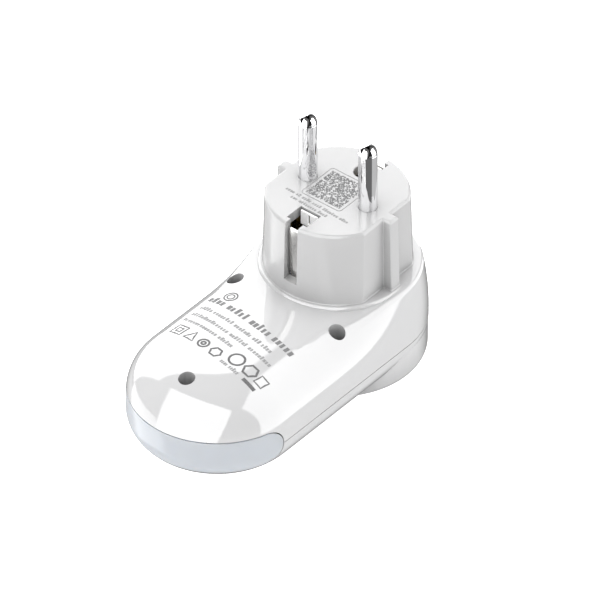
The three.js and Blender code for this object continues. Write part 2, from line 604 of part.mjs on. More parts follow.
function buildElectronics() {
  const electronics = new THREE.Group();
  electronics.position.z = BOARD.top;
  addPiece(electronics, 'main_board', mainBoard(), 'board');
  addPiece(electronics, 'relay', roundedBlock(10.1, 17.8, 0.1, 12.2, 0.6), 'blackPlastic', [-8.6, -38.6, 0]);
  addPiece(electronics, 'transformer', transformer(), 'amberPlastic', [8, -35.2, 0]);
  addPiece(electronics, 'capacitor_mid', capacitor(4, 10), 'blackPlastic', [8.6, -46.6, 0]);
  addPiece(electronics, 'capacitor_toe', capacitor(3.15, 9), 'blackPlastic', [9.6, -54, 0]);
  addPiece(electronics, 'varistor', varistor(), 'blueCoat', [-7, -51, 0]);
  addPiece(electronics, 'fuse', fuse(), 'clearGuide', [-9.5, -55.2, 0]);
  const underside = -BOARD.thickness;
  const radioPlace = [0, -31.4, underside];
  addPiece(electronics, 'wifi_board', roundedBlock(16, 10.4, -0.9, -0.1, 0.5), 'board', radioPlace);
  addPiece(electronics, 'wifi_shield', roundedBlock(12, 8, -3, -1, 0.6), 'nickel', radioPlace);
  addPiece(electronics, 'switch_body', switchBody(), 'blackPlastic', [0, BUTTON.y, underside]);
  addPiece(electronics, 'switch_plunger', switchPlunger(), 'redSleeve', [0, BUTTON.y, underside]);
  [225, 270, 315].forEach((degrees, i) => {
    const angle = THREE.MathUtils.degToRad(degrees);
    const reach = BOARD.radius - 1.3;
    const place = [reach * Math.cos(angle), BODY.toeY + reach * Math.sin(angle), 0];
    addPiece(electronics, `status_led_${i + 1}`, roundedBlock(2, 2, 0.1, 1.3, 0.3), 'led', place);
  });
  return electronics;
}

const smartPlug = new THREE.Group();
smartPlug.add(buildHousing(), buildPlug(), buildSocket(), buildWiring(), buildElectronics());

export default smartPlug;
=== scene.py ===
"""A plug-through smart plug: fine surfaces, materials, a pale floor and studio light round the CAD frame.

Shapes are worked out in millimetres in the part's own frame: the origin is the centre of the plug's pin face,
+Z points out along the pins, X runs through both pins and -Y points to the toe of the housing."""

import json
import math
import random

import bmesh
import bpy
from mathutils import Matrix, Vector
from mathutils.bvhtree import BVHTree

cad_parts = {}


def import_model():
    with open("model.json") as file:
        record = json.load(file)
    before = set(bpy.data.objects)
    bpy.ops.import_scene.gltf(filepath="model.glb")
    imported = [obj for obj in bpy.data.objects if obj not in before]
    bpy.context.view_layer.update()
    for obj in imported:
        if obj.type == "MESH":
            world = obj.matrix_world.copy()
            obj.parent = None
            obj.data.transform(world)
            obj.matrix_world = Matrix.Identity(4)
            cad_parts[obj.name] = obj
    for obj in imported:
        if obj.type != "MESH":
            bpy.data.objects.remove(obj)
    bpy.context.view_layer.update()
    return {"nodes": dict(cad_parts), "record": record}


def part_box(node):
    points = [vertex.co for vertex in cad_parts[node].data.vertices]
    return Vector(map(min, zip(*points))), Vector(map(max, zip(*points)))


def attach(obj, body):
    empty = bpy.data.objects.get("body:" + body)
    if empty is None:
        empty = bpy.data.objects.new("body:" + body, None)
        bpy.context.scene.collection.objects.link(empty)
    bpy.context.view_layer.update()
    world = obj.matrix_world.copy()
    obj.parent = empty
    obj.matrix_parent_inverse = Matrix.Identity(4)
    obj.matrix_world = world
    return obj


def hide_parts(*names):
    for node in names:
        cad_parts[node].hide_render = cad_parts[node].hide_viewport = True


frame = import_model()

MM = 0.001


def low(node):
    """The lowest corner of a CAD node, in millimetres."""
    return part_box(node)[0] / MM


def high(node):
    """The highest corner of a CAD node, in millimetres."""
    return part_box(node)[1] / MM


# ---- Sizes from the frame, in millimetres ----------------------------------------------------------------

WALL = 1.8
SEAM_GAP = 0.2
WINDOW_GAP = 0.3

BODY_RADIUS = high("back_casing").x
TOE_Y = low("light_window").y + BODY_RADIUS
SEAT_Z = high("back_casing").z
SEAM_Z = low("back_casing").z - SEAM_GAP / 2
SIDE_Z = SEAM_Z + 1.2
CREST_Z = SEAT_Z - 0.5
CROWN_EXPONENT = 2.8
HEEL_DRAFT = 1.3
HEEL_CORNER = 0.9
HEEL_BLEND = (-26.0, 4.0)
SEAT_RADIUS = 20.5
COLLAR_Z = low("front_casing").z
COLLAR_RADIUS = 22.5
COLLAR_EDGE = 2.0
FRONT_Z = COLLAR_Z + 2.2
FRONT_EDGE = 7.8

BARREL_BASE_RADIUS = 18.6
BARREL_TOP_RADIUS = 18.05
BARREL_FLAT_X = 15.7
BARREL_RIB = 1.65
BARREL_CORNER = 0.35
FLAT_DRAFT = 0.25
TOE_OPENING_Y = 10.3
HEEL_OPENING_Y = 13.2
EARTH_HOLE_Y = 10.0
PIN_X = (low("live_pin").x + high("live_pin").x) / 2
PIN_TIP_Z = high("live_pin").z
PIN_RADIUS = 2.4
PIN_SHOULDER_Z = -3.1
PIN_TAIL_RADIUS = 1.6

CUP_TOP_Z = high("socket_cup").z - 2.6
RECESS_FLOOR_Z = CUP_TOP_Z - 2
RECESS_RADIUS = 19.5
CUP_RADIUS = high("socket_cup").x

WINDOW_TOP = high("light_window").z
WINDOW_BOTTOM = low("light_window").z
WINDOW_END_Y = high("light_window").y
WINDOW_DEPTH = 2.0

SCREWS = [
    ((low(name).x + high(name).x) / 2, (low(name).y + high(name).y) / 2)
    for name in ("casing_screw_1", "casing_screw_2", "casing_screw_3")
]
WELL_RADIUS = 3.4
WELL_BORE = 2.125
WELL_LEDGE_Z = low("casing_screw_1").z + 8
PILOT_RADIUS = 1.35
BUTTON_Y = (low("power_button").y + high("power_button").y) / 2
BUTTON_RADIUS = 5.4


# ---- Mesh helpers ----------------------------------------------------------------------------------------


def new_piece(name, points, faces):
    """A mesh object from points in millimetres, with doubled points merged and its faces pointing out."""
    mesh = bpy.data.meshes.new(name)
    mesh.from_pydata([Vector(p) * MM for p in points], [], faces)
    piece = bpy.data.objects.new(name, mesh)
    bpy.context.scene.collection.objects.link(piece)
    edit = bmesh.new()
    edit.from_mesh(mesh)
    bmesh.ops.remove_doubles(edit, verts=edit.verts, dist=2e-6)
    bmesh.ops.dissolve_degenerate(edit, edges=edit.edges, dist=1e-7)
    bmesh.ops.recalc_face_normals(edit, faces=edit.faces)
    edit.to_mesh(mesh)
    edit.free()
    return piece


def loft(name, rings):
    """A closed solid through rings of equal count; an end ring is capped unless it is one point."""
    count = len(rings[0])
    points = [p for ring in rings for p in ring]
    faces = []
    for k in range(len(rings) - 1):
        for i in range(count):
            j = (i + 1) % count
            faces.append((k * count + i, k * count + j, (k + 1) * count + j, (k + 1) * count + i))
    for start in (0, (len(rings) - 1) * count):
        if any((Vector(points[start + i]) - Vector(points[start])).length > 1e-6 for i in range(count)):
            faces.append(tuple(range(start, start + count)))
    return new_piece(name, points, faces)


def turned(name, profile, centre=(0, 0), segments=96):
    """A body of revolution about the vertical through centre, from (radius, z) pairs."""
    rings = []
    for radius, z in profile:
        ring = []
        for i in range(segments):
            angle = 2 * math.pi * i / segments
            ring.append((centre[0] + radius * math.cos(angle), centre[1] + radius * math.sin(angle), z))
        rings.append(ring)
    return loft(name, rings)


def prism(name, outline, low_z, high_z):
    """A plan outline raised between two heights."""
    return loft(name, [[(x, y, z) for x, y in outline] for z in (low_z, high_z)])


def block(name, xs, ys, zs):
    """A sharp block used as a cutter, or as a start for a bevelled piece."""
    outline = [(xs[0], ys[0]), (xs[1], ys[0]), (xs[1], ys[1]), (xs[0], ys[1])]
    return prism(name, outline, zs[0], zs[1])


def slice_along_x(name, outline, width, x=0.0):
    """An outline of (y, z) pairs given width along X."""
    rings = [[(x + side * width / 2, y, z) for y, z in outline] for side in (-1, 1)]
    return loft(name, rings)


def arc(centre, radius, start, end, steps):
    """Points of an arc in degrees, both ends included."""
    points = []
    for i in range(steps + 1):
        angle = math.radians(start + (end - start) * i / steps)
        points.append((centre[0] + radius * math.cos(angle), centre[1] + radius * math.sin(angle)))
    return points


def apply_modifiers(piece):
    """Bakes a piece's modifiers into its mesh."""
    graph = bpy.context.evaluated_depsgraph_get()
    mesh = bpy.data.meshes.new_from_object(piece.evaluated_get(graph))
    piece.modifiers.clear()
    old = piece.data
    piece.data = mesh
    bpy.data.meshes.remove(old)
    mesh.name = piece.name


def combine(piece, other, operation):
    """Joins, cuts or intersects a piece with another solid, which is used up."""
    modifier = piece.modifiers.new(operation, "BOOLEAN")
    modifier.operation = operation
    modifier.solver = "MANIFOLD"
    modifier.object = other
    bpy.context.view_layer.update()
    apply_modifiers(piece)
    bpy.data.objects.remove(other)
    return piece


def cut(piece, *cutters):
    for cutter in cutters:
        combine(piece, cutter, "DIFFERENCE")
    return piece


def join(piece, *others):
    for other in others:
        combine(piece, other, "UNION")
    return piece


def soften(piece, width, segments=2, angle=40):
    """Rounds a piece's sharp edges by a width in millimetres."""
    bevel = piece.modifiers.new("soften", "BEVEL")
    bevel.width = width * MM
    bevel.segments = segments
    bevel.limit_method = "ANGLE"
    bevel.angle_limit = math.radians(angle)
    bevel.harden_normals = False
    bpy.context.view_layer.update()
    apply_modifiers(piece)
    return piece


def finish_piece(piece, body, material, replaced=(), sharp=35):
    """Shades a piece, gives it its material, ties it to its body and hides the CAD nodes it stands for.
    """
    piece.data.shade_smooth()
    piece.data.set_sharp_from_angle(angle=math.radians(sharp))
    normals = piece.modifiers.new("normals", "WEIGHTED_NORMAL")
    normals.keep_sharp = True
    apply_modifiers(piece)
    piece.data.materials.clear()
    piece.data.materials.append(material)
    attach(piece, body)
    if replaced:
        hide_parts(*replaced)
    return piece


# ---- Materials -------------------------------------------------------------------------------------------


class Nodes:
    """A short way to build a node material round one Principled shader."""

    def __init__(self, name):
        self.material = bpy.data.materials.new(name)
        self.material.use_nodes = True
        self.tree = self.material.node_tree
        self.shader = self.tree.nodes["Principled BSDF"]
        self.place = self.add("ShaderNodeTexCoord").outputs["Object"]

    def add(self, kind, **values):
        node = self.tree.nodes.new(kind)
        for key, value in values.items():
            if key in node.inputs:
                node.inputs[key].default_value = value
            else:
                setattr(node, key, value)
        return node

    def link(self, source, target):
        self.tree.links.new(source, target)

    def set(self, **values):
        for key, value in values.items():
            self.shader.inputs[key.replace("_", " ")].default_value = value

    def noise(self, scale, detail=3.0, roughness=0.5):
        node = self.add("ShaderNodeTexNoise", Scale=scale, Detail=detail, Roughness=roughness)
        self.link(self.place, node.inputs["Vector"])
        return node.outputs["Fac"]

    def spread(self, source, low_value, high_value, target):
        """Maps a 0 to 1 source onto a range and feeds it to a shader input."""
        node = self.add("ShaderNodeMapRange")
        node.inputs["To Min"].default_value = low_value
        node.inputs["To Max"].default_value = high_value
        self.link(source, node.inputs["Value"])
        self.link(node.outputs["Result"], target)

    def tint(self, source, dark, light, target=None):
        """Mixes two colours by a source and feeds the base colour."""
        ramp = self.add("ShaderNodeValToRGB")
        ramp.color_ramp.elements[0].position = 0.3
        ramp.color_ramp.elements[0].color = (*dark, 1)
        ramp.color_ramp.elements[1].position = 0.7
        ramp.color_ramp.elements[1].color = (*light, 1)
        self.link(source, ramp.inputs["Fac"])
        if target is None:
            target = self.shader.inputs["Base Color"]
            target.default_value = (*light, 1)
        self.link(ramp.outputs["Color"], target)

    def deepen(self, depth, distance):
        """Darkens the base colour in corners, wells and seams, where little light gets in."""
        colour = self.shader.inputs["Base Color"].links[0].from_socket
        hollow = self.add("ShaderNodeAmbientOcclusion", Distance=distance)
        hollow.samples = 8
        floor_shade = self.add("ShaderNodeMapRange")
        floor_shade.inputs["From Min"].default_value = 0.1
        floor_shade.inputs["From Max"].default_value = 0.9
        floor_shade.inputs["To Min"].default_value = 1 - depth
        self.link(hollow.outputs["AO"], floor_shade.inputs["Value"])
        scale = self.add("ShaderNodeVectorMath", operation="SCALE")
        self.link(colour, scale.inputs[0])
        self.link(floor_shade.outputs["Result"], scale.inputs["Scale"])
        self.link(scale.outputs["Vector"], self.shader.inputs["Base Color"])

    def rim(self, start, shade=0.16, strength=0.85):
        """Turns surfaces seen edge-on a plain grey: painted shade along the outline, so that white outlines
        stay readable on a pale floor.
        """
        edge_on = self.add("ShaderNodeLayerWeight", Blend=0.5)
        share = self.add("ShaderNodeMapRange", interpolation_type="SMOOTHSTEP")
        share.inputs["From Min"].default_value = start
        share.inputs["To Max"].default_value = strength
        self.link(edge_on.outputs["Facing"], share.inputs["Value"])
        grey = self.add("ShaderNodeBsdfDiffuse", Color=(shade, shade, shade, 1))
        mixer = self.add("ShaderNodeMixShader")
        self.link(share.outputs["Result"], mixer.inputs[0])
        self.link(self.shader.outputs[0], mixer.inputs[1])
        self.link(grey.outputs[0], mixer.inputs[2])
        self.link(mixer.outputs[0], self.tree.nodes["Material Output"].inputs["Surface"])

    def bump(self, source, strength, distance):
        node = self.add("ShaderNodeBump", Strength=strength, Distance=distance)
        self.link(source, node.inputs["Height"])
        self.link(node.outputs["Normal"], self.shader.inputs["Normal"])


def moulded(name, dark, light, roughness, coat=0.0, grain=900.0, bump=0.02, shade=0.0, rim=1.0):
    """Moulded plastic: faint clouding in its colour and gloss, and a very fine surface grain."""
    nodes = Nodes(name)
    cloud = nodes.noise(45.0)
    nodes.tint(cloud, dark, light)
    if shade:
        nodes.deepen(shade, 0.012)
    nodes.spread(cloud, roughness * 0.85, roughness * 1.15, nodes.shader.inputs["Roughness"])
    nodes.bump(nodes.noise(grain, detail=2.0), bump, 0.00005)
    nodes.set(IOR=1.5, Coat_Weight=coat, Coat_Roughness=0.02)
    # Painted shade: edge-on surfaces are turned grey to draw a dark outline.
    if rim < 1:
        nodes.rim(rim)
    return nodes.material


def metal(name, dark, light, roughness, streak=0.0, bump=0.0, metallic=1.0, glow=0.0):
    """Metal with faint wear in its gloss; streak stretches the wear along Z, as drawing or brushing does."""
    nodes = Nodes(name)
    mapping = nodes.add("ShaderNodeMapping")
    mapping.inputs["Scale"].default_value = (1, 1, 1 - streak)
    nodes.link(nodes.place, mapping.inputs["Vector"])
    nodes.place = mapping.outputs["Vector"]
    wear = nodes.noise(700.0, detail=4.0)
    nodes.tint(wear, dark, light)
    nodes.spread(wear, roughness * 0.7, roughness * 1.4, nodes.shader.inputs["Roughness"])
    # The emission set by glow is painted light: it brightens the metal though the metal is no lamp.
    nodes.set(Metallic=metallic, Emission_Color=(1, 1, 1, 1), Emission_Strength=glow)
    if bump:
        nodes.bump(wear, bump, 0.00003)
    return nodes.material


def diffuser(name):
    """Milky light-diffusing plastic: light goes a little way in, with a soft gradient and a smooth skin."""
    nodes = Nodes(name)
    cloud = nodes.noise(60.0)
    nodes.tint(cloud, (0.60, 0.63, 0.67), (0.63, 0.66, 0.70))
    nodes.spread(cloud, 0.16, 0.22, nodes.shader.inputs["Roughness"])
    nodes.set(Subsurface_Weight=0.35, Subsurface_Scale=0.002, IOR=1.49)
    nodes.shader.inputs["Subsurface Radius"].default_value = (0.8, 1.0, 1.3)
    nodes.bump(nodes.noise(1200.0, detail=2.0), 0.015, 0.00005)
    return nodes.material


def ink(name, shade):
    """Pad-printed ink: a thin matt film with slightly uneven cover."""
    nodes = Nodes(name)
    cover = nodes.noise(2500.0, detail=2.0)
    nodes.tint(cover, (shade, shade, shade * 1.02), (shade * 1.25,) * 3)
    nodes.set(Roughness=0.45)
    nodes.shader.inputs["Specular IOR Level"].default_value = 0.05
    nodes.bump(cover, 0.02, 0.00002)
    return nodes.material


def clear_plastic(name, colour):
    """Clear plastic or glass with faint waviness."""
    nodes = Nodes(name)
    nodes.tint(nodes.noise(80.0), tuple(c * 0.96 for c in colour), colour)
    nodes.set(Roughness=0.05, Transmission_Weight=0.85, IOR=1.49)
    nodes.bump(nodes.noise(500.0), 0.02, 0.00005)
    return nodes.material


# One material for each slot of the record.
MATERIALS = {
    "gloss_white": moulded(
        "gloss_white",
        (0.73, 0.73, 0.734),
        (0.745, 0.745, 0.749),
        0.05,
        coat=0.5,
        bump=0.004,
        shade=0.48,
        rim=0.62,
    ),
    "satin_white": moulded(
        "satin_white", (0.61, 0.61, 0.612), (0.64, 0.64, 0.642), 0.2, grain=1500.0, shade=0.6, rim=0.8
    ),
    "shutter_white": moulded("shutter_white", (0.72, 0.72, 0.71), (0.76, 0.76, 0.75), 0.4, grain=1500.0),
    "diffuser": diffuser("diffuser"),
    "clear_guide": clear_plastic("clear_guide", (0.9, 0.94, 0.97)),
    "fuse_glass": clear_plastic("fuse_glass", (0.9, 0.92, 0.93)),
    "chrome": metal("chrome", (0.86, 0.86, 0.87), (0.92, 0.92, 0.93), 0.035, streak=0.7),
    "nickel": metal("nickel", (0.50, 0.495, 0.485), (0.62, 0.615, 0.60), 0.14, streak=0.9, bump=0.05),
    "steel": metal("steel", (0.52, 0.52, 0.54), (0.66, 0.66, 0.68), 0.25, bump=0.08),
    "brass": metal("brass", (0.70, 0.53, 0.24), (0.82, 0.66, 0.34), 0.22, streak=0.8, bump=0.05),
    "board_green": moulded("board_green", (0.02, 0.14, 0.06), (0.03, 0.2, 0.09), 0.35, coat=0.3, bump=0.05),
    "black_plastic": moulded("black_plastic", (0.012, 0.012, 0.013), (0.022, 0.022, 0.024), 0.4, bump=0.06),
    "amber_plastic": moulded("amber_plastic", (0.55, 0.36, 0.05), (0.68, 0.47, 0.09), 0.35, bump=0.04),
    "blue_coat": moulded("blue_coat", (0.02, 0.07, 0.32), (0.03, 0.11, 0.42), 0.3, coat=0.3, bump=0.05),
    "red_sleeve": moulded("red_sleeve", (0.38, 0.02, 0.015), (0.48, 0.035, 0.025), 0.4, bump=0.04),
    "blue_sleeve": moulded("blue_sleeve", (0.01, 0.06, 0.32), (0.02, 0.09, 0.42), 0.4, bump=0.04),
    "red_plastic": moulded("red_plastic", (0.4, 0.03, 0.02), (0.5, 0.05, 0.04), 0.35, bump=0.04),
    "led_lens": clear_plastic("led_lens", (0.95, 0.92, 0.75)),
}
# Finishes that aren't in the record: the walls of the plug's clips, bright metal with a painted glow, and the
# inks.
TINNED_PAINTED_GLOW = metal("tinned_painted_glow", (0.90, 0.90, 0.895), (0.96, 0.96, 0.955), 0.4, streak=0.8, metallic=0.3, glow=0.3)
INK_DARK = ink("ink_dark", 0.18)
INK_GREY = ink("ink_grey", 0.25)
INK_LIGHT = ink("ink_light", 0.36)


def dress_cad_nodes():
    """Gives every carried-over CAD node the procedural material of its slot in the record."""
    for entry in frame["record"]["subparts"]:
        node = frame["nodes"][entry["node"]]
        node.data.materials.clear()
        node.data.materials.append(MATERIALS[entry["material_slot"]])
        for polygon in node.data.polygons:
            polygon.material_index = 0


# ---- The housing's form ----------------------------------------------------------------------------------


def smoothstep(value, start, end):
    share = min(max((value - start) / (end - start), 0.0), 1.0)
    return share * share * (3 - 2 * share)


def mix(a, b, share):
    return a + (b - a) * share


def outline_stations(arc_steps, straight_steps):
    """(y on the middle line, direction out) once round the housing's plan outline."""
    stations = [(0.0, math.pi * i / arc_steps) for i in range(arc_steps + 1)]
    stations += [(TOE_Y * i / straight_steps, math.pi) for i in range(1, straight_steps)]
    stations += [(TOE_Y, math.pi + math.pi * i / arc_steps) for i in range(arc_steps + 1)]
    stations += [(TOE_Y * i / straight_steps, 2 * math.pi) for i in range(straight_steps - 1, 0, -1)]
    return [(y, math.cos(angle), math.sin(angle)) for y, angle in stations]


def crown_point(share, inset):
    """(radius, z) of the back casing's crowned section, from its side (0) to its crest (1)."""
    angle = share * math.pi / 2
    power = 2 / CROWN_EXPONENT
    radius = 0.0 if share >= 1 else (BODY_RADIUS - inset) * math.cos(angle) ** power
    return radius, SIDE_Z + (CREST_Z - inset - SIDE_Z) * math.sin(angle) ** power


def heel_point(share, inset):
    """(radius, z) round the plug: a drafted wall, a small corner, then the flat seat."""
    wall_share, corner_share = 0.45, 0.6
    corner_z = SEAT_Z - inset - HEEL_CORNER
    wall_top = BODY_RADIUS - inset - HEEL_DRAFT
    if share <= wall_share:
        rise = share / wall_share
        return BODY_RADIUS - inset - HEEL_DRAFT * rise ** 2, mix(SIDE_Z, corner_z, rise)
    if share <= corner_share:
        angle = (share - wall_share) / (corner_share - wall_share) * math.pi / 2
        radius = wall_top - HEEL_CORNER * (1 - math.cos(angle))
        return radius, corner_z + HEEL_CORNER * math.sin(angle)
    inward = (share - corner_share) / (1 - corner_share)
    return (wall_top - HEEL_CORNER) * (1 - inward), SEAT_Z - inset


def back_ring(stations, share, inset):
    """One ring of the back casing's surface, crowned along the body and upright round the plug."""
    crown, heel = crown_point(share, inset), heel_point(share, inset)
    ring = []
    for y, dx, dy in stations:
        blend = smoothstep(y + dy * crown[0], *HEEL_BLEND)
        radius, z = mix(crown[0], heel[0], blend), mix(crown[1], heel[1], blend)
        ring.append((dx * radius, y + dy * radius, z))
    return ring


def flat_ring(stations, radius, z):
    return [(dx * radius, y + dy * radius, z) for y, dx, dy in stations]


def back_rings(stations, inset, levels):
    """Rings from the side up to the crest, closer together where the section turns fastest."""
    rings = []
    for i in range(levels + 1):
        share = 1 - (1 - i / levels) ** 1.3
        rings.append(back_ring(stations, share, inset))
    return rings


def front_rings(stations, inset, levels):
    """Rings from the side down round the front edge to the middle of the front face."""
    radius, edge = BODY_RADIUS - inset, FRONT_EDGE - inset
    turn = arc((radius - edge, FRONT_Z + FRONT_EDGE), edge, 0, -90, levels)
    face = [((radius - edge) / 2, FRONT_Z + inset), (0, FRONT_Z + inset)]
    return [flat_ring(stations, r, z) for r, z in turn + face]


def back_form(inset, foot_z, levels=64, arc_steps=64, straight_steps=40):
    stations = outline_stations(arc_steps, straight_steps)
    foot = [flat_ring(stations, 0, foot_z), flat_ring(stations, BODY_RADIUS - inset, foot_z)]
    return loft("form", foot + back_rings(stations, inset, levels))


def front_form(inset, top_z, levels=24, arc_steps=64, straight_steps=40):
    stations = outline_stations(arc_steps, straight_steps)
    top = [flat_ring(stations, 0, top_z), flat_ring(stations, BODY_RADIUS - inset, top_z)]
    return loft("form", top + front_rings(stations, inset, levels))


def whole_form(inset, levels=64, arc_steps=64, straight_steps=40):
    """Both casings' envelope as one solid."""
    stations = outline_stations(arc_steps, straight_steps)
    back = back_rings(stations, inset, levels)
    return loft("form", back[::-1] + front_rings(stations, inset, levels // 2))


def window_cutter(margin):
    """The light window's side outline as a slice through the toe."""
    radius = (WINDOW_TOP - WINDOW_BOTTOM) / 2
    middle = (WINDOW_END_Y - radius, (WINDOW_TOP + WINDOW_BOTTOM) / 2)
    far_y = TOE_Y - BODY_RADIUS - 3
    outline = [(far_y, middle[1] - radius - margin)]
    outline += arc(middle, radius + margin, -90, 90, 32)
    outline += [(far_y, middle[1] + radius + margin)]
    return slice_along_x("cutter", outline, 3 * BODY_RADIUS)


def cup_space():
    return turned("cutter", [(CUP_RADIUS + 0.15, COLLAR_Z - 1), (CUP_RADIUS + 0.15, CUP_TOP_Z + 0.3)])


# ---- Housing pieces --------------------------------------------------------------------------------------


def seat_ring():
    """The flat round seat that stands a little proud of the back casing round the plug."""
    edge, radius = 0.8, SEAT_RADIUS - 0.8
    profile = [(0, SEAT_Z - WALL), (radius, SEAT_Z - WALL)]
    profile += arc((radius - edge, SEAT_Z - edge), edge, 0, 90, 8)
    profile += [(0, SEAT_Z)]
    return turned("seat", profile, segments=160)


def back_casing():
    foot_z = SEAM_Z + SEAM_GAP / 2
    shell = join(back_form(0, foot_z), seat_ring())
    cut(shell, back_form(WALL, foot_z - WALL, 24, 32, 16))
    for x, y in SCREWS:
        post = turned("post", [(WELL_RADIUS, SEAM_Z + 0.4), (WELL_RADIUS, -20)], (x, y), 48)
        combine(post, back_form(0.6, foot_z, 24, 32, 16), "INTERSECT")
        join(shell, post)
    hole = barrel_side(BARREL_BASE_RADIUS + 0.05, FLAT_DRAFT + 0.05, BARREL_RIB + 0.05)
    barrel_hole = prism("cutter", hole, -30, -20)
    cut(shell, barrel_hole, cup_space(), window_cutter(WINDOW_GAP))
    for x, y in SCREWS:
        bore = [(PILOT_RADIUS, -40), (PILOT_RADIUS, WELL_LEDGE_Z)]
        bore += [(WELL_BORE - 0.12, WELL_LEDGE_Z), (WELL_BORE, -20)]
        cut(shell, turned("cutter", bore, (x, y), 64))
    shell.name = "back_casing_fine"
    return finish_piece(shell, "housing", MATERIALS["gloss_white"], ["back_casing"])


def front_casing():
    top_z = SEAM_Z - SEAM_GAP / 2
    collar = [(0, top_z), (COLLAR_RADIUS, top_z)]
    collar += arc((COLLAR_RADIUS - COLLAR_EDGE, COLLAR_Z + COLLAR_EDGE), COLLAR_EDGE, 0, -90, 12)
    collar += [(0, COLLAR_Z)]
    shell = join(front_form(0, top_z), turned("collar", collar, segments=160))
    cut(shell, front_form(WALL, top_z + WALL, 12, 32, 16), cup_space())
    for x, y in SCREWS:
        post = [(WELL_RADIUS, FRONT_Z + WALL - 0.5), (WELL_RADIUS, SEAM_Z + 0.1)]
        join(shell, turned("post", post, (x, y), 48))
        pilot = [(PILOT_RADIUS, FRONT_Z + WALL), (PILOT_RADIUS, SEAM_Z + 1)]
        cut(shell, turned("cutter", pilot, (x, y), 32))
    hole = [(BUTTON_RADIUS + 0.15, -50), (BUTTON_RADIUS + 0.15, -40)]
    cut(shell, turned("cutter", hole, (0, BUTTON_Y), 96), window_cutter(WINDOW_GAP))
    shell.name = "front_casing_fine"
    return finish_piece(shell, "housing", MATERIALS["gloss_white"], ["front_casing"])


def light_window():
    lens = combine(whole_form(0), window_cutter(0), "INTERSECT")
    cut(lens, whole_form(WINDOW_DEPTH, 24, 32, 16))
    lens.name = "light_window_fine"
    return finish_piece(lens, "housing", MATERIALS["diffuser"], ["light_window"])


def power_button():
    """A round push button with a softened rim and a shallow dish."""
    top_z, cap_z = high("power_button").z, low("power_button").z
    flange, flange_z, edge, dish = BUTTON_RADIUS + 1, top_z - 0.8, 0.7, 0.35
    flat = BUTTON_RADIUS - edge
    profile = [(0, top_z), (flange, top_z), (flange, flange_z), (BUTTON_RADIUS, flange_z)]
    profile += arc((flat, cap_z + edge), edge, 0, -90, 8)
    profile += [(flat * (1 - i / 8), cap_z + dish * math.sin(math.pi / 2 * i / 8)) for i in range(1, 9)]
    button = turned("power_button_fine", profile, (0, BUTTON_Y), 96)
    return finish_piece(button, "button", MATERIALS["satin_white"], ["power_button"])


# ---- Plug pieces -----------------------------------------------------------------------------------------


def soft_corner(before, corner, after, reach, steps=4):
    """Points that round a corner, starting and ending a short reach along its two sides."""
    corner = Vector(corner)
    start = corner + (Vector(before) - corner).normalized() * reach
    end = corner + (Vector(after) - corner).normalized() * reach
    points = []
    for i in range(steps + 1):
        t = i / steps
        points.append(tuple(start * (1 - t) ** 2 + corner * 2 * t * (1 - t) + end * t * t))
    return points


def barrel_outline(radius, flat_x, rib, corner):
    """The plug's outline: a circle with a flat on each side and a narrow rib in the middle of each flat."""
    chord_y = math.sqrt(radius ** 2 - flat_x ** 2)
    rib_x = math.sqrt(radius ** 2 - rib ** 2)
    chord_angle = math.degrees(math.atan2(chord_y, flat_x))
    rib_angle = math.degrees(math.atan2(rib, rib_x))
    rim = arc((0, 0), radius, chord_angle, 180 - chord_angle, 72)
    tip = arc((0, 0), radius, -rib_angle, rib_angle, 8)
    lower = soft_corner((rim[1][0], -rim[1][1]), (flat_x, -chord_y), (flat_x, 0), corner)
    lower += soft_corner((flat_x, -chord_y), (flat_x, -rib), (rib_x, -rib), corner)
    lower += soft_corner((flat_x, -rib), (rib_x, -rib), tip[1], corner)
    upper = [(x, -y) for x, y in reversed(lower)]
    half = lower + tip[2:-2] + upper + rim[2:-2]
    return half + [(-x, -y) for x, y in half]


def barrel_side(radius, widening, rib=BARREL_RIB):
    """The plug's outline at one height, with its flats moved out by a widening."""
    return barrel_outline(radius, BARREL_FLAT_X + widening, rib, BARREL_CORNER)


